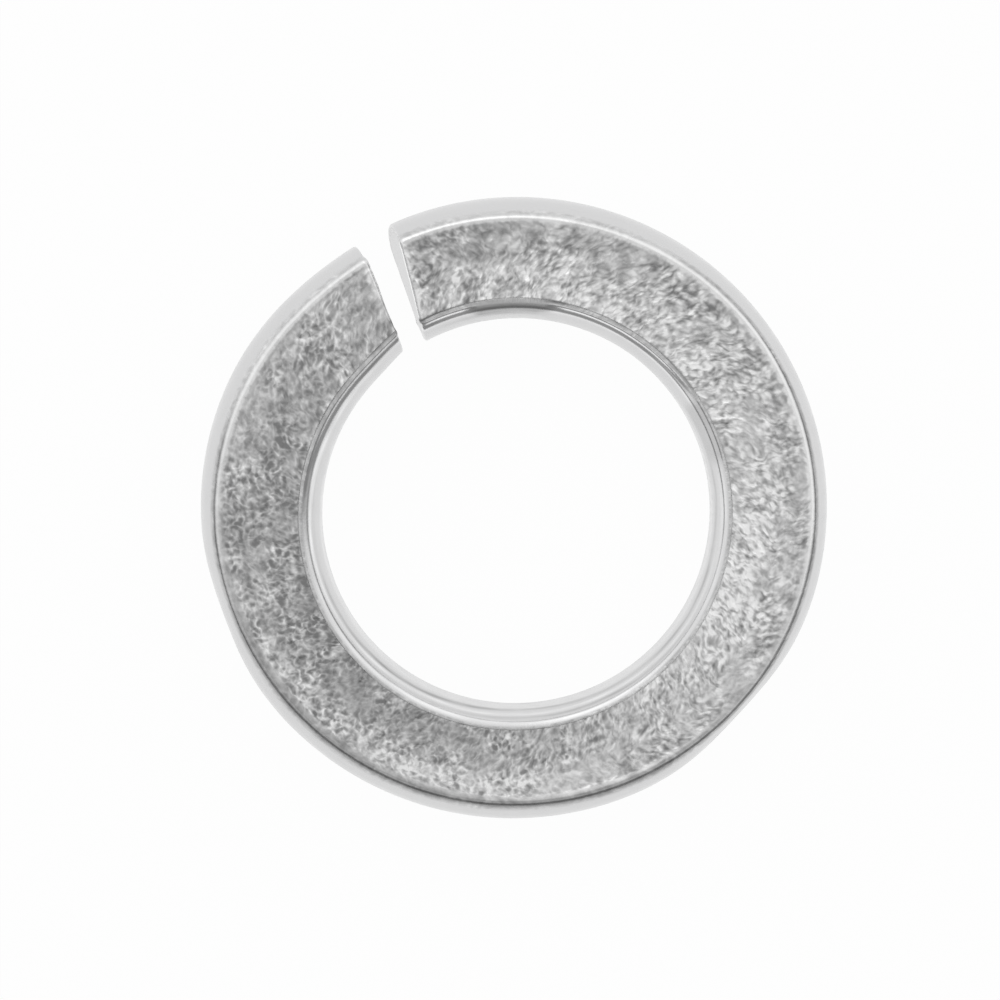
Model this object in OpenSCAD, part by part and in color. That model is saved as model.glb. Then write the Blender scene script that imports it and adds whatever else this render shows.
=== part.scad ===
// Spring lock washer: one turn of flattened wire, split by a slanted cut, with its ends sprung apart.
// The hole's axis is Z, and the low end's underside lies at height 0.

/* [Hole] */
// Diameter of the hole that the bolt passes through
hole_d = 16.6; // [4:0.1:60]
// Height of the band that the mandrel pressed flat round the hole
land_h = 1.2; // [0.5:0.05:2]

/* [Wire] */
// Width of the wire, from the hole to the outside
wire_w = 5; // [3:0.1:12]
// Thickness of the wire between its two seating faces
wire_t = 3.5; // [2.5:0.1:8]
// How far the outer side stands out past the edge of the seating face
outer_bulge = 0.88; // [0.3:0.01:1.1]
// How far the inner side stands in past the edge of the seating face
inner_bulge = 0.71; // [0.5:0.01:1]
// Rounding of the long outer edges of the seating faces
edge_r = 0.2; // [0.05:0.01:0.3]
// Width of the bevel along the inner edges of the seating faces
bevel_w = 0.3; // [0.15:0.01:0.4]
// How far that bevel drops away from the seating face
bevel_drop = 0.13; // [0.05:0.01:0.3]

/* [Coil] */
// How far the raised end stands above the low end
rise = 3.5; // [0.5:0.1:8]
// Direction of the split, seen from above, from +X towards +Y
split_at = 119; // [0:1:359]
// Width of the split at the middle of the wire
split_w = 1.15; // [0.4:0.05:3]
// How far the turn of wire lies off the hole's axis
off_axis = 0.14; // [0:0.01:0.2]
// Direction in which it lies off the axis, from +X towards +Y
off_toward = 109; // [0:1:359]

/* [Cut ends] */
// Lean of the low end's cut away from the radius, in degrees
low_skew = 9; // [-15:1:25]
// How far the low end's cut stands back at its top, at the outside
low_slant_outer = 0.72; // [0:0.01:1.5]
// How far the low end's cut stands back at its top, at the hole
low_slant_inner = 0.22; // [0:0.01:1.5]
// Lean of the raised end's cut away from the radius, in degrees
raised_skew = 7; // [-15:1:25]
// How far the raised end's cut hangs over at its top, at the outside
raised_slant_outer = 0.5; // [0:0.01:1.5]
// How far the raised end's cut hangs over at its top, at the hole
raised_slant_inner = 0.35; // [0:0.01:1.5]
// Rounding round the edges of both cuts
cut_r = 0.12; // [0.02:0.01:0.25]

/* [Flat spots] */
// How far the whole outside is drawn in at the raised end
flat_end = 0.24; // [0:0.01:0.4]
// How far the inside stands back at the raised end
flat_end_inner = 0.26; // [0:0.01:0.4]
// Depth of the flat spot of the outer side opposite the split
flat_front = 0.3; // [0:0.01:0.4]
// Depth of the flat spot of the outer side on the far side
flat_side = 0.17; // [0:0.01:0.4]

/* [Hidden] */

hole_r = hole_d / 2;
outer_r = hole_r + wire_w;
mid_r = hole_r + wire_w / 2;
rings = 96;
cut_rings = 3;
arc_steps = 7;
edge_steps = 3;
bore_spare = 1;
bevel_r = 0.07;

// The turn is measured clockwise from the split, because the coil is left-handed
turn_start = degrees_at(split_w / 2, mid_r);
turn_end = 360 - turn_start;

// Both sides of the wire are arcs about a centre at half its thickness
outer_arc_r = (pow(outer_bulge, 2) + pow(wire_t / 2, 2)) / (2 * outer_bulge);
outer_arc_c = outer_r - outer_arc_r;
inner_crown = inner_bulge - bevel_w;
inner_half = wire_t / 2 - bevel_drop;
inner_arc_reach = (pow(inner_crown, 2) + pow(inner_half, 2) - pow(land_h / 2, 2)) / (2 * inner_crown);
inner_arc_c = hole_r + inner_arc_reach;
inner_arc_r = sqrt(pow(inner_arc_reach, 2) + pow(land_h / 2, 2));

// Spots out of true: turn at the middle, depth, half width in degrees
end_spots = [[355, flat_end, 20]];
inner_spots = [[359, flat_end_inner, 9]];
side_spots = [
    [161, flat_front, 13],
    [281, flat_side, 11],
];

function degrees_at(along, r) = along / r * 180 / PI;
function mix(a, b, share) = a + (b - a) * share;
function depth_at(spots, turn) = sum([for (spot = spots) spot[1] * exp(-pow((turn - spot[0]) / spot[2], 2))]);
function share_past(r, from, to) = max(0, min(1, (r - from) / (to - from)));
function sum(list, i = 0) = i < len(list) ? list[i] + sum(list, i + 1) : 0;

// A rounded corner between two points, bent towards the corner
function corner(from, at, to) = [
    for (i = [0 : edge_steps])
        let (u = i / edge_steps)
        pow(1 - u, 2) * from + 2 * u * (1 - u) * at + pow(u, 2) * to
];

function arc_point(centre_x, r, angle) = [centre_x + r * cos(angle), wire_t / 2 + r * sin(angle)];

function arc_between(centre_x, r, from, to) = [
    for (i = [1 : arc_steps - 1])
        arc_point(centre_x, r, mix(from, to, i / arc_steps))
];

// Section of the wire as radius and height, from the top of the outside round to the top of the hole
function wire_section() =
    let (
        outer_a = asin(wire_t / 2 / outer_arc_r),
        outer_cut = outer_a - degrees_at(edge_r, outer_arc_r),
        inner_a = asin(inner_half / inner_arc_r),
        inner_cut = inner_a - degrees_at(bevel_r, inner_arc_r),
        outer_edge = outer_r - outer_bulge,
        top_inner = bevel(wire_t, -1),
        low_inner = bevel(0, 1)
    )
    concat(
        corner([outer_edge - edge_r, wire_t], [outer_edge, wire_t], arc_point(outer_arc_c, outer_arc_r, outer_cut)),
        arc_between(outer_arc_c, outer_arc_r, outer_cut, -outer_cut),
        corner(arc_point(outer_arc_c, outer_arc_r, -outer_cut), [outer_edge, 0], [outer_edge - edge_r, 0]),
        corner(low_inner[0], low_inner[1], low_inner[2]),
        corner(low_inner[3], low_inner[4], arc_point(inner_arc_c, inner_arc_r, 180 + inner_cut)),
        arc_between(inner_arc_c, inner_arc_r, 180 + inner_cut, 180 - inner_cut),
        corner(arc_point(inner_arc_c, inner_arc_r, 180 - inner_cut), top_inner[4], top_inner[3]),
        corner(top_inner[2], top_inner[1], top_inner[0])
    );

// Bevel at one inner edge: on the face, the face's edge, on the bevel twice, the bevel's foot
function bevel(height, side) =
    let (
        edge = [hole_r + inner_bulge, height],
        foot = [hole_r + inner_crown, height + side * bevel_drop],
        along = (foot - edge) / norm(foot - edge)
    )
    [edge + [bevel_r, 0], edge, edge + along * bevel_r, foot - along * bevel_r, foot];

// How far a cut runs on past its middle at a point of the section, clockwise
function cut_run(point, skew, slant_inner, slant_outer) =
    let (slant = mix(slant_inner, slant_outer, (point[0] - hole_r) / wire_w))
    tan(skew) * (point[0] - mid_r) + slant * (point[1] / wire_t - 0.5);

// Rings of a cut's rounded edge: degrees in from the cut, and how far the section is drawn in there
function end_rings() = [
    for (i = [0 : cut_rings - 1])
        let (a = 90 * i / cut_rings)
        [degrees_at(cut_r * (1 - cos(a)), mid_r), cut_r * (1 - sin(a))]
];

function drawn_in(point, by) =
    let (toward = [mid_r, wire_t / 2] - point)
    by == 0 ? point : point + toward * by / norm(toward);

// One point of the coil, a given way past the low cut or short of the raised one
function coil_point(point, share, offset, by) =
    let (
        low = turn_start + degrees_at(cut_run(point, low_skew, low_slant_inner, low_slant_outer), point[0]),
        raised = turn_end + degrees_at(cut_run(point, raised_skew, raised_slant_inner, raised_slant_outer), point[0]),
        turn = mix(low, raised, share) + offset,
        inset = drawn_in(point, by),
        angle = split_at - turn,
        beyond_hole = share_past(inset[0], hole_r, hole_r + inner_bulge),
        beyond_face = share_past(inset[0], outer_r - outer_bulge, outer_r),
        across = (inset[0] - hole_r) / wire_w,
        r = inset[0]
            + off_axis * cos(angle - off_toward) * beyond_hole
            - depth_at(end_spots, turn) * across
            + depth_at(inner_spots, turn) * (1 - across)
            - depth_at(side_spots, turn) * beyond_face,
        z = inset[1] + rise * (turn - turn_start) / (turn_end - turn_start)
    )
    [r * cos(angle), r * sin(angle), z];

module lock_washer() {
    section = wire_section();
    count = len(section);
    ends = end_rings();
    rounded = degrees_at(cut_r, mid_r) / (turn_end - turn_start);
    stations = concat(
        [for (end = ends) [0, end[0], end[1]]],
        [for (i = [0 : rings]) [mix(rounded, 1 - rounded, i / rings), 0, 0]],
        [for (i = [cut_rings - 1 : -1 : 0]) [1, -ends[i][0], ends[i][1]]]
    );
    last = len(stations) - 1;
    centre = [mid_r, wire_t / 2];
    points = concat(
        [for (s = stations) for (p = section) coil_point(p, s[0], s[1], s[2])],
        [for (share = [0, 1]) coil_point(centre, share, 0, 0)]
    );
    low_centre = count * (last + 1);
    raised_centre = low_centre + 1;
    faces = concat(
        [for (k = [0 : last - 1]) for (i = [0 : count - 1])
            let (j = (i + 1) % count) [k * count + i, k * count + j, (k + 1) * count + j]],
        [for (k = [0 : last - 1]) for (i = [0 : count - 1])
            let (j = (i + 1) % count) [k * count + i, (k + 1) * count + j, (k + 1) * count + i]],
        [for (i = [0 : count - 1]) [low_centre, (i + 1) % count, i]],
        [for (i = [0 : count - 1]) [raised_centre, last * count + i, last * count + (i + 1) % count]]
    );
    color("silver")
        difference() {
            polyhedron(points = points, faces = faces, convexity = 6);
            translate([0, 0, -bore_spare])
                cylinder(r = hole_r, h = wire_t + rise + 2 * bore_spare, $fn = 180);
        }
}

lock_washer();
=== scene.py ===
import bpy
import math
import numpy as np
from mathutils import Matrix, Vector


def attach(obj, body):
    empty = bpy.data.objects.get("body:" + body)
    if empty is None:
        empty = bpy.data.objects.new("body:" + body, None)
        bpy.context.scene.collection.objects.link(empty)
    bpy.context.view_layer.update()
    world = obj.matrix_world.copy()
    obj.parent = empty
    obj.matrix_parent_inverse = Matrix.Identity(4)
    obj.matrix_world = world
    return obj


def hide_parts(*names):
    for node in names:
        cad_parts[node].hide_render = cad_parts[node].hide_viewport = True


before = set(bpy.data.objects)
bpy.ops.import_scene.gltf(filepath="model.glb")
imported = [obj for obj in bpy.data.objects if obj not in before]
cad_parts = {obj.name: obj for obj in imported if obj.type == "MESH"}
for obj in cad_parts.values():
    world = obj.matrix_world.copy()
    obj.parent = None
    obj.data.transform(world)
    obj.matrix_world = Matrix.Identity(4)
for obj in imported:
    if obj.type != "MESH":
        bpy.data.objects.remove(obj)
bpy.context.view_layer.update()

mm = 0.001

# The washer's own sizes, in millimetres and degrees, as the CAD solid has them
washer = {
    "holeRadius": 8.3,
    "wireWidth": 5.0,
    "wireThickness": 3.5,
    "landHeight": 1.2,
    "boreHalf": 0.8,         # nothing stands into the bore within this of mid height
    "outerBulge": 0.88,
    "innerBulge": 0.71,
    "edgeRound": 0.2,
    "bevelWidth": 0.3,
    "bevelDrop": 0.13,
    "bevelRound": 0.07,
    "rise": 3.5,
    "splitAt": 119.0,        # from +X towards +Y
    "splitWidth": 1.15,
    "offAxis": 0.14,         # how far the coil lies off the hole's axis, and which way
    "offToward": 109.0,
    "lowCut": {"skew": 9.0, "slantInner": 0.22, "slantOuter": 0.72},
    "raisedCut": {"skew": 7.0, "slantInner": 0.35, "slantOuter": 0.5},
    "cutRound": 0.12,
    # Spots out of true: turn, depth, half width
    "endSpots": [(355, 0.24, 20)],
    "innerSpots": [(359, 0.26, 9)],
    "sideSpots": [(161, 0.3, 13), (281, 0.17, 11)],
}

# The upper outer corner as the photo shows it, a little out or in: turn, shift
corner = {
    "reach": 0.40,           # fades over this across the wire
    "depth": 0.7,            # and over this down its side
    "table": [(0, 0.0), (19, 0.01), (49, 0.04), (79, 0.145), (104, 0.105), (119, 0.08), (149, 0.02),
              (179, -0.12), (209, -0.17), (239, -0.15), (269, -0.09), (299, 0.02), (329, 0.0), (360, 0.0)],
}

# How finely the mesh follows it: stations along the turn and points round the section
fineness = {
    "stations": 690,
    "topRows": 53,
    "bottomRows": 24,
    "bevelRows": 5,
    "outerRows": 14,
    "innerRows": 17,
    "edgeRows": 4,
    "cutRings": 4,
    "capRings": 9,
}

holeR = washer["holeRadius"]
wireW = washer["wireWidth"]
wireT = washer["wireThickness"]
outerR = holeR + wireW
midR = holeR + wireW / 2


def degreesAt(along, radius):
    return np.degrees(along / radius)


turnStart = degreesAt(washer["splitWidth"] / 2, midR)
turnEnd = 360 - turnStart


def smooth(low, high, value):
    x = np.clip((value - low) / (high - low), 0, 1)
    return x * x * (3 - 2 * x)


def arcPoints(centreR, radius, fromDeg, toDeg, count):
    a = np.radians(np.linspace(fromDeg, toDeg, count + 2)[1:-1])
    return np.stack([centreR + radius * np.cos(a), wireT / 2 + radius * np.sin(a)], axis=1)


def cornerPoints(start, at, end, count):
    u = np.linspace(0, 1, count + 1)[:, None]
    start, at, end = np.array(start), np.array(at), np.array(end)
    return (1 - u) ** 2 * start + 2 * u * (1 - u) * at + u ** 2 * end


def wireSection():
    # Gives each point with how much of a seating face it is: 1 on top, -1 underneath, 0 on the sides
    bo, bi, er, br = washer["outerBulge"], washer["innerBulge"], washer["edgeRound"], washer["bevelRound"]
    land, rows, half = washer["landHeight"], fineness["edgeRows"], wireT / 2
    outArc = (bo ** 2 + half ** 2) / (2 * bo)
    outC = outerR - outArc
    crown, crownHalf = bi - washer["bevelWidth"], half - washer["bevelDrop"]
    reach = (crown ** 2 + crownHalf ** 2 - land ** 2 / 4) / (2 * crown)
    inArc = math.hypot(reach, land / 2)
    inC = holeR + reach
    outA = math.degrees(math.asin(half / outArc) - er / outArc)
    inA = math.degrees(math.asin(crownHalf / inArc) - br / inArc)

    def onArc(c, r, deg):
        return (c + r * math.cos(math.radians(deg)), half + r * math.sin(math.radians(deg)))

    def bevel(height, side):
        edge = np.array([holeR + bi, height])
        foot = np.array([holeR + crown, height + side * washer["bevelDrop"]])
        way = (foot - edge) / np.linalg.norm(foot - edge)
        face = cornerPoints(edge + [br, 0], edge, edge + way * br, 3)
        middle = np.linspace(edge + way * br, foot - way * br, fineness["bevelRows"] + 2)[1:-1]
        return face, middle, foot - way * br, foot

    outEdge, inEdge = outerR - bo, holeR + bi
    top = np.linspace([inEdge + br, wireT], [outEdge - er, wireT], fineness["topRows"])
    under = np.linspace([outEdge - er, 0], [inEdge + br, 0], fineness["bottomRows"])
    topFace, topMiddle, topFrom, topFoot = bevel(wireT, -1)
    lowFace, _, lowFrom, lowFoot = bevel(0, 1)
    parts = [
        (top, 1),
        (cornerPoints(top[-1], (outEdge, wireT), onArc(outC, outArc, outA), rows)[1:], 0.5),
        (arcPoints(outC, outArc, outA, -outA, fineness["outerRows"]), 0),
        (cornerPoints(onArc(outC, outArc, -outA), (outEdge, 0), under[0], rows)[:-1], -0.5),
        (under, -1),
        (lowFace[1:], -0.5),
        (cornerPoints(lowFrom, lowFoot, onArc(inC, inArc, 180 + inA), 2), 0),
        (arcPoints(inC, inArc, 180 + inA, 180 - inA, fineness["innerRows"]), 0),
        (cornerPoints(onArc(inC, inArc, 180 - inA), topFoot, topFrom, rows), 0),
        (topMiddle[::-1], 0),
        (topFace[:0:-1], 0.5),
    ]
    points = np.concatenate([p for p, _ in parts])
    seat = np.concatenate([np.full(len(p), s, float) for p, s in parts])
    points[:, 0] = np.where(np.abs(points[:, 1] - half) < land, np.maximum(points[:, 0], holeR), points[:, 0])
    return points, seat


def cutRun(points, cut):
    slant = cut["slantInner"] + (cut["slantOuter"] - cut["slantInner"]) * (points[:, 0] - holeR) / wireW
    return math.tan(math.radians(cut["skew"])) * (points[:, 0] - midR) + slant * (points[:, 1] / wireT - 0.5)


def drawnIn(points, by):
    toward = np.array([midR, wireT / 2]) - points
    return points + toward * by / np.linalg.norm(toward, axis=1)[:, None]


def depthAt(spots, turn):
    return sum(depth * np.exp(-((turn - at) / half) ** 2) for at, depth, half in spots)


def coilPoints(section, share, offset, by):
    # The section at a share of the turn, moved on by offset degrees and drawn in
    low = turnStart + degreesAt(cutRun(section, washer["lowCut"]), section[:, 0])
    raised = turnEnd + degreesAt(cutRun(section, washer["raisedCut"]), section[:, 0])
    turn = low + (raised - low) * share + offset
    inset = drawnIn(section, by)
    r = inset[:, 0]
    angle = np.radians(washer["splitAt"] - turn)
    beyondHole = np.clip((r - holeR) / washer["innerBulge"], 0, 1)
    beyondFace = np.clip((r - outerR + washer["outerBulge"]) / washer["outerBulge"], 0, 1)
    across = (r - holeR) / wireW
    off = washer["offAxis"] * np.cos(angle - math.radians(washer["offToward"]))
    radius = r + off * beyondHole - depthAt(washer["endSpots"], turn) * across
    radius += depthAt(washer["innerSpots"], turn) * (1 - across)
    radius -= depthAt(washer["sideSpots"], turn) * beyondFace
    atCorner = np.exp(-((r - outerR + washer["outerBulge"]) / corner["reach"]) ** 2)
    atCorner = atCorner * np.exp(-((inset[:, 1] - wireT) / corner["depth"]) ** 2)
    radius += atCorner * np.interp(turn, *zip(*corner["table"]))
    byBore = np.abs(inset[:, 1] - wireT / 2) < washer["boreHalf"]
    radius = np.where(byBore, np.maximum(radius, holeR), radius)
    z = inset[:, 1] + washer["rise"] * (turn - turnStart) / (turnEnd - turnStart)
    return np.stack([radius * np.cos(angle), radius * np.sin(angle), z], axis=1), turn


# The rolled faces' crinkles: short worm-like ridges, mostly lying across the wire
crinkle = {
    "seed": 7,
    "cell": 0.04,        # grid of the pattern, mm
    "wave": 0.30,        # from one ridge to the next, mm
    "coarseWave": 0.75,  # the same for the larger swellings under them
    "spread": 0.55,      # how much that varies
    "slants": (-28, 24),  # the two ways the ridges slant across the wire, degrees
    "slope": 0.09,       # steepness of the ridges
    "coarseSlope": 0.07,
    "wallShare": 0.03,   # how much of it the smooth sides keep
    "patch": 2.2,        # size of rougher and smoother patches, mm
    "patchLevel": 0.75,  # their usual height, and how much it varies
    "patchSpread": 0.35,
}


# Band-passed noise on a grid along and across the wire; slant None has no direction
def noiseField(seed, wave, spread, slant=None):
    cell = crinkle["cell"]
    nx, ny = int(coilLength / cell), int(roundLength / cell)
    noise = np.random.default_rng(crinkle["seed"] + seed).standard_normal((nx, ny))
    kx = np.fft.fftfreq(nx, cell)[:, None]
    ky = np.fft.fftfreq(ny, cell)[None, :]
    k = np.maximum(np.hypot(kx, ky), 1e-6)
    band = np.exp(-(np.log(k * wave) / spread) ** 2)
    if slant is not None:
        a = math.radians(slant)
        band = band * np.abs((kx * math.cos(a) + ky * math.sin(a)) / k) ** 5
    field = np.real(np.fft.ifft2(np.fft.fft2(noise) * band))
    return field / field.std()


def sample(field, along, across):
    # The grid repeats beyond its ends
    nx, ny = field.shape
    x, y = along / crinkle["cell"], across / crinkle["cell"]
    x0, y0 = np.floor(x).astype(int), np.floor(y).astype(int)
    fx, fy = x - x0, y - y0
    a, b = field[x0 % nx, y0 % ny], field[(x0 + 1) % nx, y0 % ny]
    c, d = field[x0 % nx, (y0 + 1) % ny], field[(x0 + 1) % nx, (y0 + 1) % ny]
    return (a * (1 - fx) + b * fx) * (1 - fy) + (c * (1 - fx) + d * fx) * fy


section, seat = wireSection()
count = len(section)
edgeLength = np.linalg.norm(np.roll(section, -1, axis=0) - section, axis=1)
perimeter = np.concatenate([[0], np.cumsum(edgeLength)[:-1]])

cutTurn = degreesAt(washer["cutRound"], midR)
rounded = cutTurn / (turnEnd - turnStart)
ringAngles = np.radians(90 * np.arange(fineness["cutRings"]) / fineness["cutRings"])
cutRound = washer["cutRound"]
lowRings = [(0, degreesAt(cutRound * (1 - math.cos(a)), midR), cutRound * (1 - math.sin(a)))
            for a in ringAngles]
stations = lowRings + [(s, 0, 0) for s in np.linspace(rounded, 1 - rounded, fineness["stations"])]
stations += [(1, -off, by) for _, off, by in reversed(lowRings)]

rings = [coilPoints(section, *s) for s in stations]
coil = np.array([r[0] for r in rings])      # station, point, xyz
turns = np.array([r[1] for r in rings])

# Normals of the plain form, from its two grid directions
alongT = np.gradient(coil, axis=0)
aroundP = np.roll(coil, -1, axis=1) - np.roll(coil, 1, axis=1)
normals = np.cross(aroundP, alongT)
normals /= np.linalg.norm(normals, axis=2, keepdims=True)

coilLength = math.radians(360) * midR
roundLength = edgeLength.sum()
along = np.radians(turns) * midR
across = np.broadcast_to(perimeter, along.shape)
print("section and coil:", count, "points round,", len(stations), "along")

leanWays = [noiseField(n, crinkle["wave"], crinkle["spread"], a) for n, a in enumerate(crinkle["slants"])]
freeWays = noiseField(5, crinkle["wave"], crinkle["spread"])
pick = smooth(-0.5, 0.5, noiseField(6, crinkle["patch"], 0.5))
loose = smooth(-0.2, 1.2, noiseField(8, crinkle["patch"] * 1.5, 0.5))
worms = (leanWays[0] * pick + leanWays[1] * (1 - pick)) * (1 - loose) + freeWays * loose
worms = np.tanh(worms * 1.2)
swell = noiseField(9, crinkle["coarseWave"], crinkle["spread"])
rough = crinkle["patchLevel"] + crinkle["patchSpread"] * np.tanh(noiseField(10, crinkle["patch"], 0.6))
relief = sample(worms * rough, along, across)
swelling = sample(swell, along, across)
faceness = np.abs(seat)[None, :]
mask = faceness ** 4 * (1 - crinkle["wallShare"]) + crinkle["wallShare"]
height = relief * crinkle["slope"] * crinkle["wave"] / (2 * math.pi)
height = height + swelling * crinkle["coarseSlope"] * crinkle["coarseWave"] / (2 * math.pi)
height = height * mask
print("crinkles")

# Wear and marks of making, at turns counted clockwise from the split
marks = {
    # Smooth strip rolled over along the outer edge, and how it runs out down the side
    "rim": {"width": 0.09, "bend": 0.03, "slope": 0.26, "moreSlope": 0.04, "runOut": 0.30,
            "frontTurn": 224, "frontHalf": 62, "frontWidth": 0.40, "frontSlope": 0.22, "frontBend": 0.22,
            "calm": 0.8, "calmFrom": -0.14, "calmOver": 0.12, "frontCalm": -0.14},
    "raisedRoll": 0.30, "raisedDrop": 0.07,             # edge of the raised end's cut, rolled over
    "lowRoll": 0.45, "lowDrop": 0.05,
    "endCalm": 0.35, "endKeep": 0.25,                   # crinkles fade over this, to this share, at both cuts
    "faceLine": {"width": 0.10, "depth": 0.004},        # drawn lines round the hole
    "bevelLine": {"width": 0.09, "depth": 0.004},
    # Groove along the seating face's inner edge: distance in, and its depth by turn
    "groove": {"at": 0.02, "width": 0.10, "endCalm": 0.25, "endKeep": 0.35, "table": [
        (0, 0.085), (14, 0.085), (18, 0.01), (36, 0.01), (42, 0.085), (72, 0.08), (86, 0.0), (299, 0.0),
        (325, 0.07), (345, 0.085), (360, 0.085)]},
    "dent": {"from": 15, "to": 40, "at": 0.08, "width": 0.17, "depth": 0.05, "darkening": 1.1},
    "scrape": {"from": 84, "to": 106, "reach": 0.35, "depth": 0.04, "darkening": 0.35, "calm": 0.8},
    "scratch": {"turn": 93.6, "lean": 8.0, "from": 0.0, "to": 0.95, "width": 0.08, "depth": 0.05,
                "darkening": 1.0},
}
upper = np.where(seat > 0, seat, 0)[None, :]
sectionR = section[:, 0][None, :]
sectionZ = section[:, 1][None, :]
faceIn, faceOut = holeR + washer["innerBulge"], outerR - washer["outerBulge"]
inFromRim = np.maximum(faceOut - sectionR, 0)
inFromHole = np.maximum(sectionR - faceIn, 0)
acrossFace = np.clip((sectionR - faceIn) / (faceOut - faceIn), 0, 1)
outward = smooth(0.30, 0.75, acrossFace)


def rollOver(distance, width):
    return np.clip(1 - distance / width, 0, 1) ** 2


raisedEdge = turnEnd + degreesAt(cutRun(section, washer["raisedCut"]), section[:, 0])[None, :]
lowEdge = turnStart + degreesAt(cutRun(section, washer["lowCut"]), section[:, 0])[None, :]
toRaised = np.radians(raisedEdge - turns) * sectionR
toLow = np.radians(turns - lowEdge) * sectionR
toCut = np.minimum(toRaised, toLow)
endFade = marks["endKeep"] + (1 - marks["endKeep"]) * smooth(0, marks["endCalm"], toCut)
crinkles = height * endFade
height = crinkles
height = height - upper * outward * marks["raisedDrop"] * rollOver(toRaised, marks["raisedRoll"])
height = height - upper * (0.4 + 0.6 * outward) * marks["lowDrop"] * rollOver(toLow, marks["lowRoll"])


def stretch(mark):
    return smooth(mark["from"], mark["from"] + 4, turns) * (1 - smooth(mark["to"] - 5, mark["to"], turns))


# Lines the mandrel drew round the inner side, upper and lower alike
inside = (sectionR < faceIn + 0.2).astype(float)
bevelFoot = faceIn - washer["bevelWidth"]
scraped = stretch(marks["scrape"]) * (1 - smooth(0, marks["scrape"]["reach"], inFromHole))
scraped = scraped * (seat >= 0)[None, :] * (sectionR > holeR + 0.1)
for name, distance in (("faceLine", sectionR - faceIn), ("bevelLine", sectionR - bevelFoot)):
    mark = marks[name]
    height = height - mark["depth"] * inside * np.exp(-(distance / mark["width"]) ** 2) * (1 - 0.8 * scraped)

# Way round the section from the seating face's inner edge towards the bore, the same from both faces
fromTop = roundLength - perimeter
lowStart = perimeter[(section[:, 1] < 0.5) & (section[:, 0] < faceIn + washer["bevelRound"] + 0.01)].min()
onTop = np.arange(count) < fineness["topRows"]
inward = np.where(onTop, -perimeter, np.minimum(fromTop, perimeter - lowStart))
inward = np.maximum(inward - 2 * washer["bevelRound"], -1)
mark = marks["groove"]
grooveDepth = np.interp(turns, *zip(*mark["table"]))
grooveDepth = grooveDepth * (mark["endKeep"] + (1 - mark["endKeep"]) * smooth(0.02, mark["endCalm"], toCut))
height = height - grooveDepth * np.exp(-((inward - mark["at"]) / mark["width"]) ** 2)

mark = marks["dent"]
dented = stretch(mark) * np.exp(-((sectionR - bevelFoot - mark["at"]) / mark["width"]) ** 2)
dented = dented * (sectionZ > wireT / 2)
height = height - mark["depth"] * dented
# Darker in the dent, over the scrape and, below, along the scratch
darkening = mark["darkening"] * dented + marks["scrape"]["darkening"] * scraped
height = height - upper * marks["scrape"]["depth"] * scraped
calm = 1 - marks["scrape"]["calm"] * scraped * faceness

mark = marks["scratch"]
streak = turns - mark["turn"] - mark["lean"] * (acrossFace - 0.12)
length = smooth(mark["from"], mark["from"] + 0.1, inFromHole)
length = length * (1 - smooth(mark["to"] - 0.2, mark["to"], inFromHole))
streak = upper * length * np.exp(-(np.radians(streak) * sectionR / mark["width"]) ** 2)
height = height - mark["depth"] * streak
darkening = darkening + mark["darkening"] * streak

# Upper rim: a strip along the outer edge bends down and runs out on the side, wider at the front
mark = marks["rim"]
atFront = np.exp(-((turns - mark["frontTurn"]) / mark["frontHalf"]) ** 4)
rimWidth = mark["width"] + mark["frontWidth"] * atFront
rimSlope = mark["moreSlope"] + mark["frontSlope"] * atFront
intoRim = np.clip(rimWidth - inFromRim + washer["edgeRound"], 0, rimWidth)
rimBend = mark["bend"] + mark["frontBend"] * atFront
rimDrop = mark["slope"] * (intoRim - rimBend * (1 - np.exp(-intoRim / rimBend)))
rimDrop = rimDrop + rimSlope * intoRim ** 2 / (2 * rimWidth)
pastRim = np.maximum(perimeter - perimeter[fineness["topRows"] - 1], 0)[None, :]
rimDrop = (rimDrop + (mark["slope"] + rimSlope) * pastRim) * np.exp(-(pastRim / mark["runOut"]) ** 2)
topSide = (perimeter < perimeter[fineness["topRows"] - 1] + 3 * mark["runOut"])[None, :]
height = height - rimDrop * topSide
rimWay = perimeter - perimeter[fineness["topRows"] - 1]
rimStart = mark["calmFrom"] + mark["frontCalm"] * atFront
rimBand = upper * smooth(rimStart, rimStart + mark["calmOver"], rimWay)
edgeCalm = 1 - mark["calm"] * rimBand
coil = coil + normals * (height - crinkles * (1 - edgeCalm * calm))[:, :, None]
relief = relief * calm * edgeCalm * endFade
print("wear and marks")

# Lighter and darker tones on the seating faces: painted light towards one side and painted highlights on the
# cut rims, over patches and spots of tone; turns as above, shares of the face's width from the hole
tonesAndPaintedLight = {
    "lightToward": 84, "lightInner": 0.60, "lightOuter": -0.22,
    "rightTurn": -241, "rightShare": 0.25,
    "patch": 1.3, "patchShare": 0.24,
    # Spots: turn, half turn, share across, half share, amount
    "spots": [
        (143, 26, 0.15, 0.45, 0.50),
        (219, 36, 0.72, 0.15, 0.85),
        (262, 34, 0.30, 0.35, -0.30),
        (299, 5, 0.80, 0.25, -0.9),
        (322, 24, 0.45, 0.22, -0.50),
        (14, 14, 0.86, 0.14, -0.80),
        (20, 12, 0.60, 0.10, -0.55),
        (60, 20, 0.80, 0.25, -0.30),
        (101, 10, 0.04, 0.12, -0.9),
    ],
    # Painted highlights along the rims of both cuts, the low end's over a wider reach
    "cutRim": 1.6, "lowRim": 0.9, "lowReach": 0.55, "lowEdge": 2.2,
}
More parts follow.
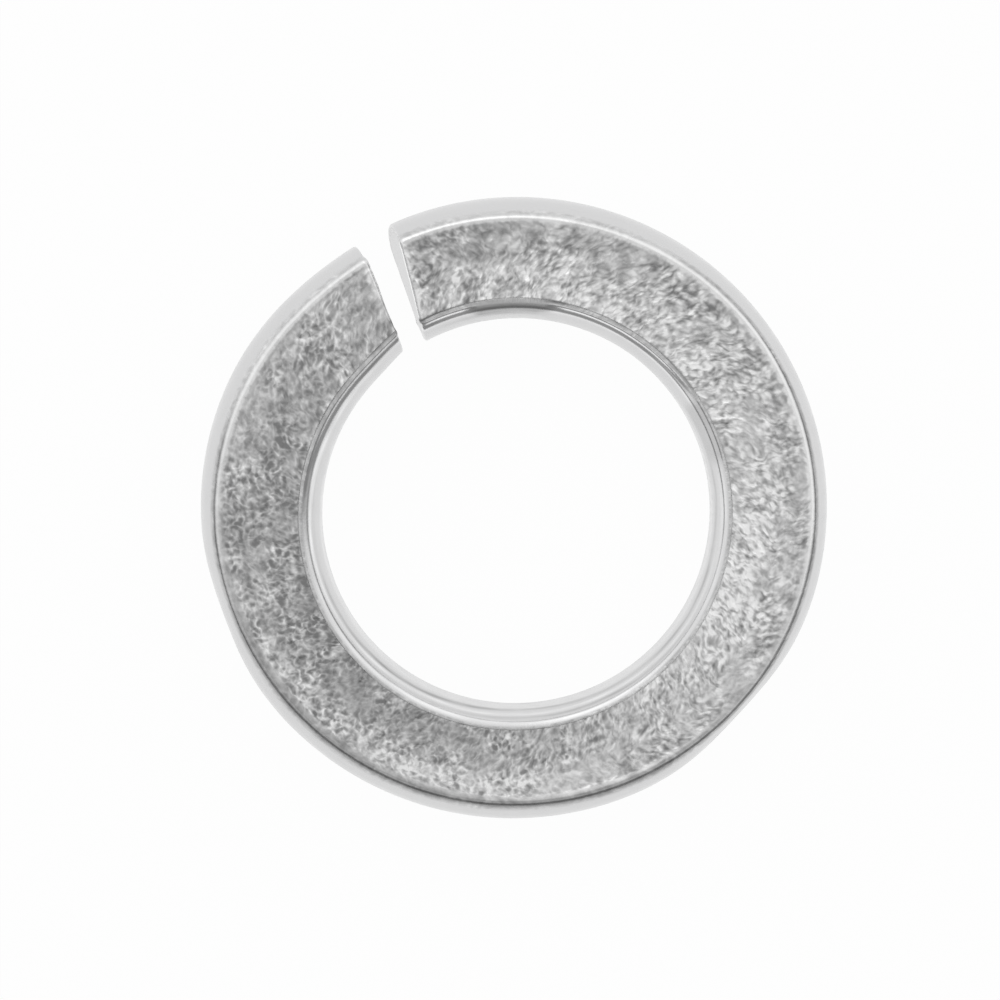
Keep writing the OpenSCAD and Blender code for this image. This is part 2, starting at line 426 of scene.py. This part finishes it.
# Painted light: the faces lighter towards one side, most on the inner half, and towards a second side
paintedLightSide = np.clip(1.6 * np.cos(np.radians(turns - tonesAndPaintedLight["lightToward"])), -1, 1)
toneAndPaintedLight = paintedLightSide * (tonesAndPaintedLight["lightInner"] + (tonesAndPaintedLight["lightOuter"] - tonesAndPaintedLight["lightInner"]) * acrossFace)
toneAndPaintedLight = toneAndPaintedLight + tonesAndPaintedLight["rightShare"] * np.cos(np.radians(turns - tonesAndPaintedLight["rightTurn"]))
toneAndPaintedLight = toneAndPaintedLight + tonesAndPaintedLight["patchShare"] * sample(noiseField(12, tonesAndPaintedLight["patch"], 0.5), along, across)
for turn, halfTurn, at, halfShare, amount in tonesAndPaintedLight["spots"]:
    toneAndPaintedLight = toneAndPaintedLight + amount * np.exp(-((turns - turn) / halfTurn) ** 2 - ((acrossFace - at) / halfShare) ** 2)
# Painted highlights along the rolled rims of both cuts
cutRims = np.maximum(rollOver(toRaised, marks["raisedRoll"]), rollOver(toLow, marks["lowRoll"]))
toneAndPaintedLight = toneAndPaintedLight + tonesAndPaintedLight["cutRim"] * upper * outward * np.sqrt(cutRims)
toneAndPaintedLight = toneAndPaintedLight + upper * tonesAndPaintedLight["lowRim"] * rollOver(toLow, tonesAndPaintedLight["lowReach"])
toneAndPaintedLight = toneAndPaintedLight + upper * tonesAndPaintedLight["lowEdge"] * rollOver(toLow, tonesAndPaintedLight["lowReach"] / 2)

# How the fine lines run: where they curl, where they are dark grooves rather than bright crests, and
# how they lean: one way from the hole, and the other way along the outside of part of the turn
lineWays = {
    "curl": {"level": 0.35, "toward": 270, "side": 0.40, "outer": 0.30, "patch": 2.0, "patchShare": 0.25},
    "groove": {"level": 0.5, "toward": 95, "side": 0.5, "outer": 0.3, "patch": 1.8, "patchShare": 0.2},
    "lean": -0.42, "leanBack": 0.85, "backBeyond": 1.9,
    "backStarts": (100, 130), "backEnds": (250, 300), "backByLow": (20, 40),
}


def spreadOf(way, middle, seed):
    level = way["level"] + way["side"] * np.cos(np.radians(turns - way["toward"]))
    level = level + way["outer"] * (acrossFace - middle)
    return level + way["patchShare"] * sample(noiseField(seed, way["patch"], 0.5), along, across)


curl = smooth(0.2, 0.8, spreadOf(lineWays["curl"], 0.4, 13))
grooved = np.clip(spreadOf(lineWays["groove"], 0.5, 14), 0, 1)
leansBack = smooth(*lineWays["backStarts"], turns) * (1 - smooth(*lineWays["backEnds"], turns))
leansBack = leansBack + 1 - smooth(*lineWays["backByLow"], turns)
slant = lineWays["lean"] * across
slant = slant + lineWays["leanBack"] * leansBack * np.maximum(across - lineWays["backBeyond"], 0)

# Painted highlight along the upper rim and painted shade in the line under it: turn, amount
farAway = 9.0                # a distance at which nothing is drawn
rimWay = np.where(rimWay < 1.5, rimWay, farAway)
rim = {
    "shine": [(0, 0.5), (40, 0.5), (79, 0.85), (119, 0.9), (135, 0.5), (149, 0.2), (170, 0.0), (285, 0.0),
              (299, 0.3), (315, 0.6), (329, 0.6), (360, 0.5)],
    "dark": [(0, 0.0), (58, 0.0), (64, 0.30), (80, 0.26), (86, 0.08), (91, 0.36), (119, 0.36), (150, 0.36),
             (209, 0.25), (245, 0.26), (280, 0.20), (297, 0.30), (312, 0.26), (325, 0.0), (360, 0.0)],
}

# Painted reflection lines round the hole, dark and light bands: turn, distance in from the seating face, how
# dark (below 0 it is light)
paintedReflectionLines = {
    "edge": {"width": 0.085, "table": [
        (0, -0.10, 0.60), (16, -0.10, 0.55), (24, -0.06, 0.15), (32, -0.06, 0.15), (38, -0.10, 0.55),
        (79, -0.10, 0.45), (94, 0.0, 0.05), (104, -0.06, 0.05), (119, -0.04, 0.25), (149, 0.0, 0.26),
        (179, 0.03, 0.36), (209, -0.02, 0.24), (239, -0.04, 0.14), (269, -0.06, 0.08), (299, -0.06, 0.0),
        (317, -0.06, 0.0), (329, -0.08, 0.30), (345, -0.10, 0.50), (360, -0.10, 0.60)]},
    "bevel": {"width": 0.11, "table": [
        (0, 0.08, -0.30), (14, 0.08, -0.30), (18, 0.15, 0.0), (36, 0.15, 0.0), (40, 0.08, -0.25),
        (79, 0.08, -0.25), (90, 0.20, 0.0), (104, 0.20, -0.10), (119, 0.20, -0.24), (149, 0.14, -0.05),
        (179, 0.22, -0.05), (209, 0.24, -0.15), (239, 0.18, -0.30), (269, 0.15, -0.24), (299, 0.15, -0.25),
        (320, 0.20, -0.25), (340, 0.08, -0.25), (360, 0.08, -0.30)]},
    "shelf": {"width": 0.13, "table": [
        (0, 0.50, 0.0), (104, 0.55, 0.0), (119, 0.58, -0.05), (149, 0.60, -0.10), (179, 0.76, -0.20),
        (209, 0.85, -0.18), (239, 0.68, -0.25), (269, 0.52, -0.22), (299, 0.42, -0.28), (329, 0.48, -0.24),
        (345, 0.48, -0.10), (360, 0.50, 0.0)]},
    "foot": {"width": 0.12, "table": [
        (0, 0.26, -0.30), (14, 0.26, -0.30), (18, 0.42, 0.35), (34, 0.42, 0.35), (40, 0.26, -0.35),
        (79, 0.26, -0.35), (104, 0.42, -0.05), (119, 0.40, -0.12), (149, 0.36, 0.06), (179, 0.50, 0.24),
        (209, 0.58, 0.12), (239, 0.44, 0.06), (269, 0.32, 0.0), (299, 0.30, -0.20), (329, 0.30, -0.15),
        (345, 0.26, -0.20), (360, 0.26, -0.20)]},
    "crown": {"width": 0.14, "table": [
        (0, 0.62, 0.0), (16, 0.62, 0.10), (24, 0.64, 0.20), (34, 0.64, 0.15), (40, 0.66, 0.0),
        (80, 0.66, 0.0), (105, 0.85, 0.10), (119, 0.94, 0.20), (149, 0.94, 0.26), (179, 1.10, 0.16),
        (209, 1.36, 0.26), (239, 0.96, 0.46), (269, 0.70, 0.30), (299, 0.58, 0.10), (320, 0.60, 0.0),
        (360, 0.62, 0.0)]},
}

# Points of the mesh, and what the plating reads at each of them
points = [coil.reshape(-1, 3)]
layers = {
    "relief": [(relief * mask).reshape(-1)],
    "toneAndPaintedLight": [(toneAndPaintedLight * faceness).reshape(-1)],
    "darkening": [darkening.reshape(-1)],
    "smoothness": [np.maximum(rimBand + 0 * relief, 1 - calm).reshape(-1)],
    "seating": [np.broadcast_to(faceness, relief.shape).reshape(-1)],
    "curl": [curl.reshape(-1)],
    "inward": [(inward + 0 * relief).reshape(-1)],
    "grooved": [grooved.reshape(-1)],
    "slant": [slant.reshape(-1)],
    "rimWay": [(rimWay + 0 * relief).reshape(-1)],
    # Painted highlight and painted shade of the upper rim, by turn
    "rimShine": [np.interp(turns, *zip(*rim["shine"])).reshape(-1)],
    "rimFront": [(atFront + 0 * relief).reshape(-1)],
    "rimDark": [np.interp(turns, *zip(*rim["dark"])).reshape(-1)],
    "scraped": [scraped.reshape(-1)],
    "along": [along.reshape(-1)],
    "across": [across.reshape(-1)],
    "cutFace": [np.zeros(relief.size)],
}
# Places and amounts of the painted reflection lines, by turn
for name, line in paintedReflectionLines.items():
    atTurn, distance, dark = zip(*line["table"])
    layers[name + "At"] = [np.interp(turns, atTurn, distance).reshape(-1)]
    layers[name + "Dark"] = [np.interp(turns, atTurn, dark).reshape(-1)]
capValues = {"cutFace": 1.0, "inward": -1.0, "rimWay": farAway}
faces = []
last = len(stations) - 1
k, i = np.meshgrid(np.arange(last), np.arange(count), indexing="ij")
j = (i + 1) % count
quads = np.stack([k * count + i, k * count + j, (k + 1) * count + j, (k + 1) * count + i], axis=-1)
faces += quads.reshape(-1, 4).tolist()


def addCap(ringIndex, share, flip):
    # Rings that shrink to the middle of the cut and follow its twist
    total = sum(len(p) for p in points)
    outer = ringIndex * count
    middle = np.array([midR, wireT / 2])
    worn = coil[ringIndex] - rings[ringIndex][0]
    previous = np.arange(outer, outer + count)
    for ring in range(1, fineness["capRings"]):
        t = 1 - ring / fineness["capRings"]
        shrunk = coilPoints(middle + (section - middle) * t, share, 0, washer["cutRound"] * t)[0]
        points.append(shrunk + worn * t ** 8)
        for name, values in layers.items():
            values.append(np.full(count, capValues.get(name, 0.0)))
        current = np.arange(total, total + count)
        total += count
        nextOne = np.roll(previous, -1), np.roll(current, -1)
        loop = np.stack([previous, nextOne[0], nextOne[1], current], axis=1)
        faces.extend((loop[:, ::-1] if flip else loop).tolist())
        previous = current
    points.append(shrunk.mean(axis=0)[None, :])
    for name, values in layers.items():
        values.append(np.full(1, capValues.get(name, 0.0)))
    fan = np.stack([previous, np.roll(previous, -1), np.full(count, total)], axis=1)
    faces.extend((fan[:, ::-1] if flip else fan).tolist())


addCap(0, 0, True)
addCap(last, 1, False)

vertices = np.concatenate(points) * mm
mesh = bpy.data.meshes.new("washerCoil")
mesh.from_pydata(vertices.tolist(), [], faces)
mesh.update()
for name, values in layers.items():
    layer = mesh.attributes.new(name, "FLOAT", "POINT")
    layer.data.foreach_set("value", np.concatenate(values).astype(np.float32))
mesh.polygons.foreach_set("use_smooth", np.ones(len(mesh.polygons), dtype=bool))
coilPiece = bpy.data.objects.new("washerCoil", mesh)
bpy.context.collection.objects.link(coilPiece)
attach(coilPiece, "root")
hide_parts("lock_washer")
print("washer mesh:", len(mesh.vertices), "points,", sum(len(f) - 2 for f in faces), "triangles")

# Bright zinc plating: fine ridges on the seating faces, drawn lines on the sides, shear marks on the cuts,
# and painted reflection lines, highlights and shade round the hole and the upper rim
plating = {
    "dullColor": (0.235, 0.235, 0.236, 1),
    "brightColor": (1.0, 1.0, 1.0, 1),
    "wallColor": (0.675, 0.675, 0.678, 1),
    "wallSpread": 0.08,      # how much lighter and darker the sides go than that
    "wallShare": 0.22,
    # Colour towards which the dent, the scrape and the scratch darken
    "darkeningColor": (0.36, 0.36, 0.36, 1),
    "darkeningShare": 0.8,
    # The seating face's tone: its level, and the share that each part of the pattern has in it
    "level": 0.545,
    "contrast": 1.35,
    "reliefShare": 0.04,
    "streakShare": 1.45,
    "grooveShare": 0.36,
    "crestShare": 0.46,
    "mottleShare": 0.48,
    "grainShare": 0.15,
    "toneAndPaintedLightShare": 0.25,
    "calmShare": 0.6,        # how much of the pattern the smooth strips lose
    "patchLevels": (0.60, 1.10),
    # Upper rim's painted highlight, painted dark line and painted front shade, at distances past its start in
    # mm
    "rimRagged": 0.30,
    "shineFrom": -0.06,
    "shineOver": 0.14,
    "shineEnds": (0.16, 0.32),
    "rimLineAt": 0.36,
    "rimLineWidth": 0.15,
    "frontShade": 0.36,
    "frontStarts": (-0.50, 0.10),
    "frontEnds": (0.24, 0.42),
    "lineLevels": (-0.5, -1.3),  # least and most that a painted reflection line counts
    # Heights in mm
    "streakHeight": 0.030,
    "grainHeight": 0.003,
    "lineHeight": 0.0022,
    "shearHeight": 0.022,
    "faceRoughness": 0.30,
    "wallRoughness": 0.22,
    "mottleRoughness": 0.20,
    "markRoughness": 0.10,
    "cutRoughness": 0.08,
}

# The pattern's noises: changes per mm along and across the wire, place, detail, roughness, twist
pattern = {
    "drift": (0.55, 0.55, 3.0, 1.0, 0.5, 0.0),
    "wobble": (1.6, 1.6, 8.0, 1.0, 0.5, 0.0),
    "straight": (4.5, 3.5, 1.0, 1.4, 0.45, 0.0),
    "curly": (4.3, 4.1, 5.0, 1.4, 0.45, 0.3),
    "longLine": (3.0, 2.4, 11.0, 0.6, 0.5, 0.0),
    "roundLine": (2.8, 2.7, 17.0, 0.6, 0.5, 0.3),
    "grooveLine": (2.8, 2.2, 23.0, 0.6, 0.5, 0.3),
    "mottle": (1.2, 1.0, 21.0, 1.0, 0.5, 0.0),
    "patches": (0.35, 0.6, 50.0, 1.0, 0.5, 0.0),
    "grain": (11.0, 11.0, 2.0, 2.0, 0.5, 0.0),
    "wallLines": (0.5, 14.0, 30.0, 1.5, 0.5, 0.0),
    "wander": (0.45, 4.0, 40.0, 1.5, 0.5, 0.0),
}
patternShift = {"drift": 0.8, "wobble": 0.3}
lineSharpness = 5.5
shearMarks = {"perMetre": (9000.0, 9000.0, 900.0), "detail": 2.0, "roughness": 0.6, "onCut": 3.0}

platingMaterial = bpy.data.materials.new("zincPlating")
platingMaterial.use_nodes = True
platingTree = platingMaterial.node_tree


def feed(socket, value):
    if isinstance(value, bpy.types.NodeSocket):
        platingTree.links.new(value, socket)
    else:
        socket.default_value = value


def attribute(name):
    made = platingTree.nodes.new("ShaderNodeAttribute")
    made.attribute_name = name
    return made.outputs["Fac"]


def calc(operation, a, b=0.0, c=0.0, limit=False):
    made = platingTree.nodes.new("ShaderNodeMath")
    made.operation = operation
    made.use_clamp = limit
    for socket, value in zip(made.inputs, (a, b, c)):
        feed(socket, value)
    return made.outputs[0]


def add(a, b, limit=False):
    return calc("ADD", a, b, limit=limit)


def less(a, b):
    return calc("SUBTRACT", a, b)


def times(a, b, limit=False):
    return calc("MULTIPLY", a, b, limit=limit)


def plus(total, value, share, limit=False):
    return calc("MULTIPLY_ADD", value, share, total, limit=limit)


def between(value, low, high, fromLevel=0.0, toLevel=1.0):
    made = platingTree.nodes.new("ShaderNodeMapRange")
    made.interpolation_type = "SMOOTHSTEP"
    for name, given in (("Value", value), ("From Min", low), ("From Max", high),
                        ("To Min", fromLevel), ("To Max", toLevel)):
        feed(made.inputs[name], given)
    return made.outputs["Result"]


def blend(share, a, b):
    made = platingTree.nodes.new("ShaderNodeMix")
    made.data_type = "RGBA"
    for number, given in ((0, share), (6, a), (7, b)):
        feed(made.inputs[number], given)
    return made.outputs[2]


def dimmed(color, amount):
    made = platingTree.nodes.new("ShaderNodeVectorMath")
    made.operation = "SCALE"
    feed(made.inputs[0], color)
    feed(made.inputs["Scale"], amount)
    return made.outputs[0]


def noise(where, detail, roughness, twist=0.0):
    made = platingTree.nodes.new("ShaderNodeTexNoise")
    made.noise_dimensions = "3D"
    for name, given in (("Vector", where), ("Scale", 1.0), ("Detail", detail),
                        ("Roughness", roughness), ("Distortion", twist)):
        feed(made.inputs[name], given)
    return made.outputs["Fac"]


def patternNoise(name, x, y):
    perX, perY, place, detail, roughness, twist = pattern[name]
    where = platingTree.nodes.new("ShaderNodeCombineXYZ")
    for socket, value in zip(where.inputs, (times(x, perX), times(y, perY), place)):
        feed(socket, value)
    return noise(where.outputs[0], detail, roughness, twist)


def aboutZero(name, x, y):
    return less(patternNoise(name, x, y), 0.5)


def hump(away):
    return calc("EXPONENT", times(away, times(away, -1.0)))


# Thin lines where the noise passes its middle value
def ridge(name, x, y):
    away = calc("ABSOLUTE", aboutZero(name, x, y))
    return calc("SUBTRACT", 1.0, times(away, lineSharpness), limit=True)


def shearPattern():
    place = platingTree.nodes.new("ShaderNodeTexCoord")
    spread = platingTree.nodes.new("ShaderNodeVectorMath")
    spread.operation = "MULTIPLY"
    feed(spread.inputs[0], place.outputs["Object"])
    feed(spread.inputs[1], shearMarks["perMetre"])
    return less(noise(spread.outputs[0], shearMarks["detail"], shearMarks["roughness"]), 0.5)


# The directions wander, so the pattern's place is shifted by two slow noises
def leaning(along, across):
    drift = times(aboutZero("drift", along, across), patternShift["drift"])
    wobble = times(aboutZero("wobble", along, across), patternShift["wobble"])
    return add(attribute("slant"), add(along, add(drift, wobble)))


def streakPattern(along, across, lean):
    curlyHere = attribute("curl")
    straight = times(patternNoise("straight", lean, across), less(1.0, curlyHere))
    curly = times(patternNoise("curly", along, across), curlyHere)
    return less(add(straight, curly), 0.5)


def faceTone(along, across, lean, streaks, mottle, grain, calm):
    # Streaks, dark grooves, bright crests, mottle and grain, over the tones from place to place with their
    # painted light and painted highlights
    curlyHere, grooved = attribute("curl"), attribute("grooved")
    crests = add(times(ridge("longLine", lean, across), less(1.0, curlyHere)),
                 times(ridge("roundLine", along, across), curlyHere))
    crests = times(less(crests, 0.5), less(1.0, times(grooved, 0.6)))
    grooves = times(less(ridge("grooveLine", lean, across), 0.5), grooved)
    patches = between(patternNoise("patches", along, across), 0.36, 0.58, *plating["patchLevels"])
    patterned = times(less(1.0, times(calm, plating["calmShare"])), patches)
    amount = plus(plating["level"], attribute("relief"), plating["reliefShare"])
    amount = plus(amount, times(streaks, patterned), plating["streakShare"])
    amount = plus(amount, times(grooves, patterned), -plating["grooveShare"])
    amount = plus(amount, times(crests, patterned), plating["crestShare"])
    amount = plus(amount, mottle, plating["mottleShare"])
    amount = plus(amount, grain, plating["grainShare"])
    amount = plus(amount, attribute("toneAndPaintedLight"), plating["toneAndPaintedLightShare"], limit=True)
    return calc("POWER", amount, plating["contrast"])


def sideColor(wallLines, shear, cutFace):
    sheared = times(shear, plus(1.0, cutFace, shearMarks["onCut"]))
    shade = plus(0.5, add(wallLines, sheared), plating["wallShare"], limit=True)
    dark, light = (tuple((1 + way * plating["wallSpread"]) * v for v in plating["wallColor"][:3]) + (1,)
                   for way in (-1, 1))
    return blend(shade, dark, light)


# Painted reflection lines: darker and lighter bands round the hole
def withPaintedReflectionLines(color, inward, wander):
    paintedLineShade = 1.0
    for name, line in paintedReflectionLines.items():
        away = calc("DIVIDE", less(inward, attribute(name + "At")), line["width"])
        paintedLineShade = plus(paintedLineShade, times(attribute(name + "Dark"), hump(away)), wander)
    return dimmed(color, paintedLineShade)


def withRim(color, streaks, wander):
    # Painted highlight along the upper rim, a painted dark line below it, and painted shade on the rim at the
    # front
    rimWay = attribute("rimWay")
    ragged = plus(rimWay, streaks, plating["rimRagged"])
    shine = between(ragged, plating["shineFrom"], plating["shineFrom"] + plating["shineOver"])
    shine = times(shine, between(rimWay, *plating["shineEnds"], 1.0, 0.0))
    color = blend(times(shine, attribute("rimShine")), color, plating["brightColor"])
    away = calc("DIVIDE", less(rimWay, plating["rimLineAt"]), plating["rimLineWidth"])
    shadow = times(times(hump(away), attribute("rimDark")), wander)
    front = times(between(ragged, *plating["frontStarts"]), between(rimWay, *plating["frontEnds"], 1.0, 0.0))
    shadow = plus(shadow, times(front, attribute("rimFront")), -plating["frontShade"])
    return dimmed(color, add(shadow, 1.0))


def zincPlating():
    shader = platingTree.nodes["Principled BSDF"]
    shader.inputs["Metallic"].default_value = 1.0
    along, across, inward = attribute("along"), attribute("across"), attribute("inward")
    seating, cutFace = attribute("seating"), attribute("cutFace")
    darkening, calm = attribute("darkening"), attribute("smoothness")
    lean = leaning(along, across)
    streaks = streakPattern(along, across, lean)
    mottle = aboutZero("mottle", lean, across)
    grain = aboutZero("grain", along, across)
    wallLines = aboutZero("wallLines", along, across)
    shear = shearPattern()

    # Colour
    amount = faceTone(along, across, lean, streaks, mottle, grain, calm)
    face = blend(amount, plating["dullColor"], plating["brightColor"])
    color = blend(seating, sideColor(wallLines, shear, cutFace), face)
    wander = between(patternNoise("wander", along, inward), 0.3, 0.7, *plating["lineLevels"])
    wander = times(wander, less(1.0, times(attribute("scraped"), 0.8)))
    # Painted reflection lines round the hole, then the upper rim's painted highlight and shade
    color = withPaintedReflectionLines(color, inward, wander)
    color = withRim(color, streaks, wander)
    # Darker in the dent, over the scrape and along the scratch
    color = blend(times(darkening, plating["darkeningShare"], limit=True), color, plating["darkeningColor"])
    feed(shader.inputs["Base Color"], color)

    # Roughness
    rough = between(seating, 0.0, 1.0, plating["wallRoughness"], plating["faceRoughness"])
    rough = plus(rough, mottle, plating["mottleRoughness"])
    rough = plus(rough, darkening, plating["markRoughness"])
    rough = plus(rough, cutFace, plating["cutRoughness"])
    feed(shader.inputs["Roughness"], rough)

    # Fine height, in millimetres
    keep = times(seating, less(1.0, times(calm, 0.8)))
    fine = times(times(streaks, plating["streakHeight"]), keep)
    fine = plus(fine, grain, plating["grainHeight"])
    smoothSide = less(1.0, add(seating, cutFace, limit=True))
    fine = plus(fine, times(wallLines, smoothSide), plating["lineHeight"])
    fine = plus(fine, times(shear, cutFace), plating["shearHeight"])
    bump = platingTree.nodes.new("ShaderNodeBump")
    for name, given in (("Height", fine), ("Strength", 1.0), ("Distance", mm)):
        feed(bump.inputs[name], given)
    feed(shader.inputs["Normal"], bump.outputs["Normal"])


zincPlating()
coilPiece.data.materials.append(platingMaterial)
print("plating")

# White table
table = {"size": 0.8, "whiteShare": 0.965}


def whiteTable():
    bpy.ops.mesh.primitive_plane_add(size=table["size"], location=(0, 0, 0))
    floor = bpy.context.object
    floor.name = "whiteTable"
    material = bpy.data.materials.new("whiteTable")
    material.use_nodes = True
    tree = material.node_tree
    shader = tree.nodes["Principled BSDF"]
    shader.inputs["Base Color"].default_value = (0.9, 0.9, 0.9, 1)
    shader.inputs["Roughness"].default_value = 0.9
    shader.inputs["Specular IOR Level"].default_value = 0.0
    glow = tree.nodes.new("ShaderNodeEmission")
    glow.inputs["Strength"].default_value = 1.0
    path = tree.nodes.new("ShaderNodeLightPath")
    seen = tree.nodes.new("ShaderNodeMath")
    seen.operation = "MAXIMUM"
    tree.links.new(path.outputs["Is Camera Ray"], seen.inputs[0])
    tree.links.new(path.outputs["Is Glossy Ray"], seen.inputs[1])
    share = tree.nodes.new("ShaderNodeMath")
    share.operation = "MULTIPLY"
    share.inputs[1].default_value = table["whiteShare"]
    tree.links.new(seen.outputs[0], share.inputs[0])
    mix = tree.nodes.new("ShaderNodeMixShader")
    tree.links.new(share.outputs[0], mix.inputs[0])
    tree.links.new(shader.outputs[0], mix.inputs[1])
    tree.links.new(glow.outputs[0], mix.inputs[2])
    tree.links.new(mix.outputs[0], tree.nodes["Material Output"].inputs["Surface"])
    floor.data.materials.append(material)


whiteTable()

# Light tent: a sky that is dimmer overhead than round the sides, and one soft lamp
tent = {
    # Brightness by how high it is: 0 at table height, 1 straight overhead
    "darkSide": ((0.0, 0.5), (0.10, 0.34), (0.50, 0.24), (0.74, 0.34), (0.88, 0.70), (0.95, 0.88),
                 (1.0, 0.66)),
    "flank": ((0.0, 0.5), (0.05, 0.32), (0.36, 0.26), (0.56, 0.90), (0.90, 0.95), (1.0, 0.66)),
    "brightSide": ((0.0, 0.9), (0.5, 1.05), (0.90, 1.02), (1.0, 0.66)),
    "brightWay": (-0.26, 0.966, 0.0),
    "lampPower": 0.02,
    "lampSize": 0.12,
    "lampPlace": (-0.05, 0.16, 0.2),
}


def lightTent():
    world = bpy.data.worlds.new("lightTent")
    bpy.context.scene.world = world
    world.use_nodes = True
    tree = world.node_tree
    tree.nodes.clear()
    place = tree.nodes.new("ShaderNodeTexCoord")
    split = tree.nodes.new("ShaderNodeSeparateXYZ")
    tree.links.new(place.outputs["Generated"], split.inputs[0])

    def levels(stops):
        ramp = tree.nodes.new("ShaderNodeValToRGB")
        for n, (at, level) in enumerate(stops):
            stop = ramp.color_ramp.elements[n] if n < 2 else ramp.color_ramp.elements.new(at)
            stop.position = at
            stop.color = (level, level, level, 1)
        tree.links.new(split.outputs["Z"], ramp.inputs["Fac"])
        return ramp

    way = tree.nodes.new("ShaderNodeVectorMath")
    way.operation = "DOT_PRODUCT"
    way.inputs[1].default_value = tent["brightWay"]
    tree.links.new(place.outputs["Generated"], way.inputs[0])
    level = levels(tent["darkSide"]).outputs["Color"]
    for name, low, high in (("flank", -0.55, -0.15), ("brightSide", 0.1, 0.6)):
        share = tree.nodes.new("ShaderNodeMapRange")
        share.interpolation_type = "SMOOTHSTEP"
        share.inputs["From Min"].default_value = low
        share.inputs["From Max"].default_value = high
        tree.links.new(way.outputs["Value"], share.inputs["Value"])
        blend = tree.nodes.new("ShaderNodeMix")
        blend.data_type = "RGBA"
        tree.links.new(share.outputs["Result"], blend.inputs[0])
        tree.links.new(level, blend.inputs[6])
        tree.links.new(levels(tent[name]).outputs["Color"], blend.inputs[7])
        level = blend.outputs[2]
    sky = tree.nodes.new("ShaderNodeBackground")
    tree.links.new(level, sky.inputs["Color"])
    white = tree.nodes.new("ShaderNodeBackground")
    white.inputs["Color"].default_value = (1, 1, 1, 1)
    path = tree.nodes.new("ShaderNodeLightPath")
    mix = tree.nodes.new("ShaderNodeMixShader")
    out = tree.nodes.new("ShaderNodeOutputWorld")
    tree.links.new(path.outputs["Is Camera Ray"], mix.inputs[0])
    tree.links.new(sky.outputs[0], mix.inputs[1])
    tree.links.new(white.outputs[0], mix.inputs[2])
    tree.links.new(mix.outputs[0], out.inputs["Surface"])

    lamp = bpy.data.lights.new("softLamp", "AREA")
    lamp.energy = tent["lampPower"]
    lamp.size = tent["lampSize"]
    lampPiece = bpy.data.objects.new("softLamp", lamp)
    lampPiece.location = tent["lampPlace"]
    lampPiece.rotation_euler = Vector(tent["lampPlace"]).to_track_quat("Z", "Y").to_euler()
    bpy.context.collection.objects.link(lampPiece)


lightTent()
print("light tent")

# Camera as in the photo: almost straight down, leaning to the picture's top
shot = {
    "lean": 6.92,
    "leanToward": 91.6,
    "distance": 87.2,
    "target": (-0.771, 0.602, 3.5),
    "pixelsPerMm": 23.45,
}


def photoCamera():
    lean, toward = math.radians(shot["lean"]), math.radians(shot["leanToward"])
    back = Vector((math.sin(lean) * math.cos(toward), math.sin(lean) * math.sin(toward), math.cos(lean)))
    level = Vector((math.cos(toward), math.sin(toward), 0))
    leanAxis = level * math.cos(lean) - Vector((0, 0, 1)) * math.sin(lean)
    sideAxis = Vector((math.sin(toward), -math.cos(toward), 0))
    right = leanAxis * math.cos(toward) + sideAxis * math.sin(toward)
    up = back.cross(right)
    camera = bpy.data.cameras.new("photoCamera")
    halfView = 500 / shot["pixelsPerMm"]
    camera.sensor_width = 36
    camera.lens = 18 * shot["distance"] / halfView
    camera.clip_start = 0.005
    camera.clip_end = 5
    piece = bpy.data.objects.new("photoCamera", camera)
    turn = Matrix((right, up, back)).transposed().to_4x4()
    piece.matrix_world = Matrix.Translation((Vector(shot["target"]) + back * shot["distance"]) * mm) @ turn
    bpy.context.collection.objects.link(piece)
    bpy.context.scene.camera = piece


photoCamera()
bpy.context.scene.view_settings.view_transform = "Standard"

bpy.context.view_layer.update()
